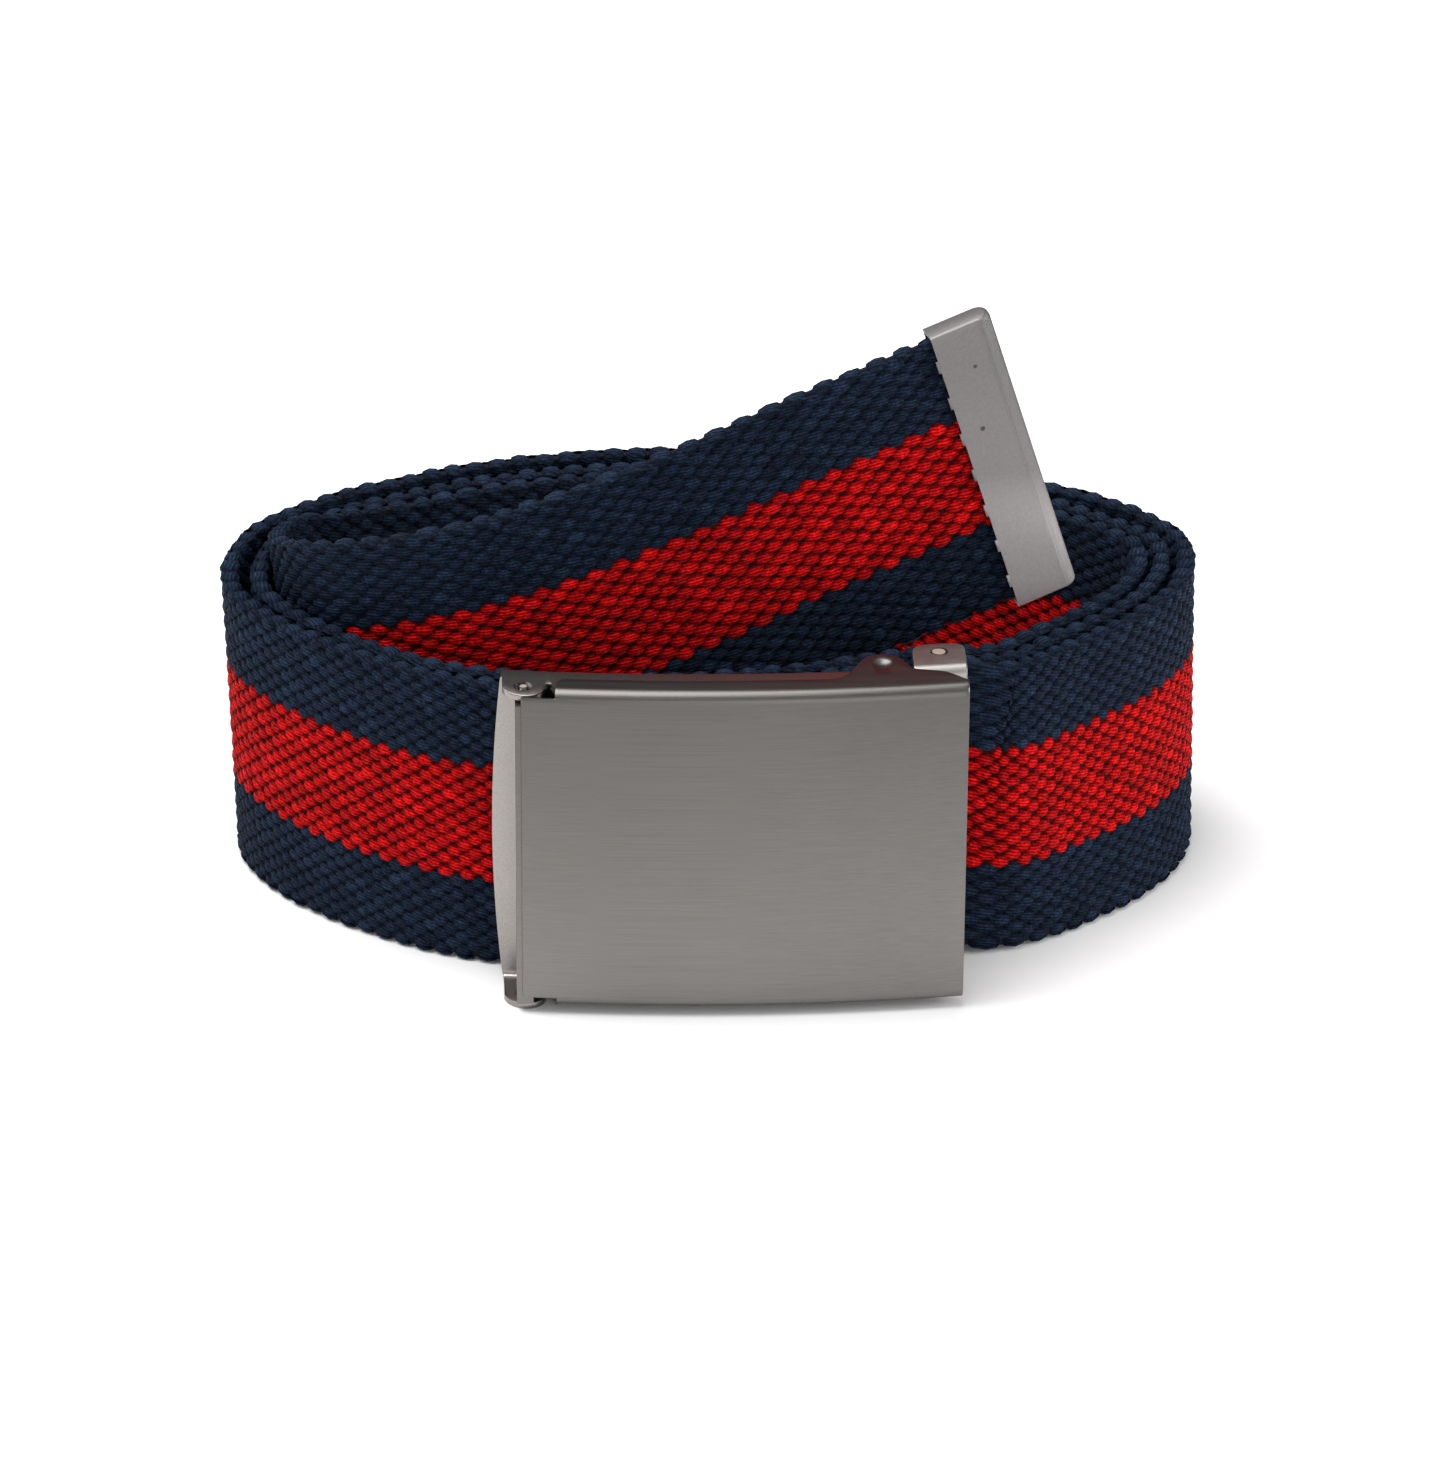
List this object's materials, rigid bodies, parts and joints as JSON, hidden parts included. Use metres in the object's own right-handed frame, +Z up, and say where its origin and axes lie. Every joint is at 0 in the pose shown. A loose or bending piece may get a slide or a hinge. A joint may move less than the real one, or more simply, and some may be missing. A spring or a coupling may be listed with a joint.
{
  "type": "fabric belt",
  "caption": "Striped woven web belt coiled on its edge, with a flip-top metal buckle in front and a raised free end with a folded metal tip.",
  "frame": {"origin": "middle of the footprint on the surface that the belt stands on", "axes": "+X to the right of the buckle seen from its front, +Y from the buckle towards the back of the coil, +Z up along the strap's width"},
  "size_m": [0.1214, 0.082, 0.0765],
  "materials": {
    "striped_webbing": "ribbed woven webbing with a red middle stripe between two navy stripes",
    "tip_nickel": "satin nickel plated sheet",
    "brushed_nickel": "nickel plated sheet with fine lengthwise brushing",
    "satin_nickel": "fine blasted nickel plated sheet"
  },
  "bodies": {
    "belt": {"webbing": "striped_webbing", "tip_cap": "tip_nickel", "buckle_frame": "satin_nickel", "strap_clamp": "brushed_nickel", "hinge_pin": "satin_nickel", "clamp_pin": "satin_nickel"},
    "cover": {"buckle_cover": "brushed_nickel"}
  },
  "joints": [
    {"name": "cover_hinge", "type": "hinge", "parent": "belt", "child": "cover", "pos_m": [-0.02225, -0.03655, 0.0211], "axis": [0, 0, -1], "range_deg": [0, 95]}
  ]
}
